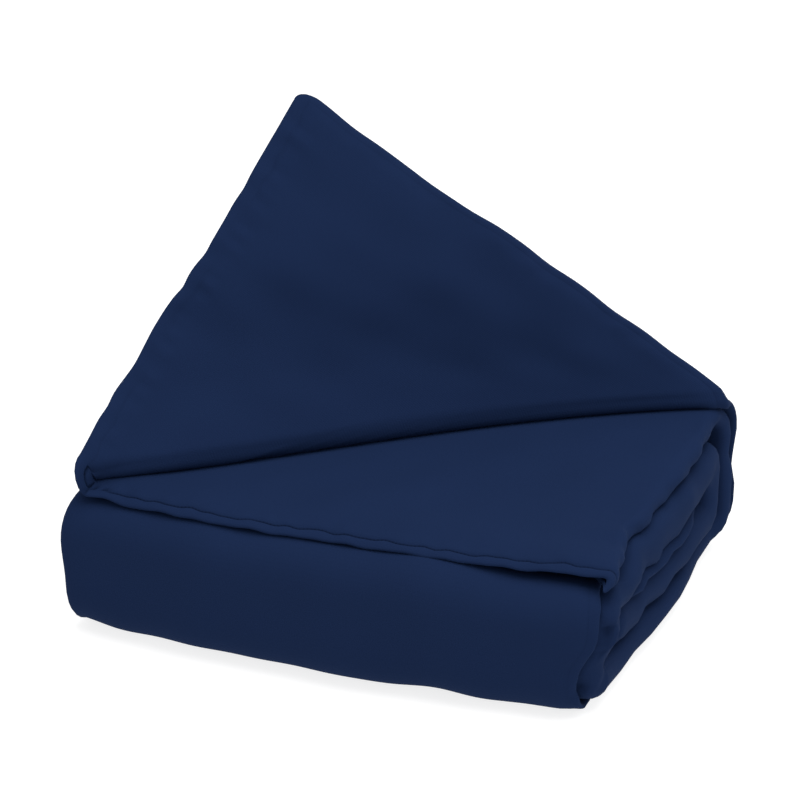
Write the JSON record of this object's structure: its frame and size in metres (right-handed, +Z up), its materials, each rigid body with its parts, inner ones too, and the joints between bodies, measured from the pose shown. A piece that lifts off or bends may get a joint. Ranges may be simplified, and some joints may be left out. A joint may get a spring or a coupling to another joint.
{
  "type": "weighted blanket",
  "caption": "Padded blanket folded into a flat rectangular stack, with one corner of the top layer turned up, for calming weight and warmth.",
  "frame": {"origin": "on the surface the stack rests on, under the middle of its box", "axes": "+X to the right along the smooth front fold, +Y from the front fold to the back, +Z up"},
  "size_m": [0.4726, 0.371, 0.4061],
  "materials": {
    "cover_fabric": "matt brushed woven cotton, dark navy"
  },
  "bodies": {
    "root": {"blanket": "cover_fabric"}
  },
  "joints": []
}
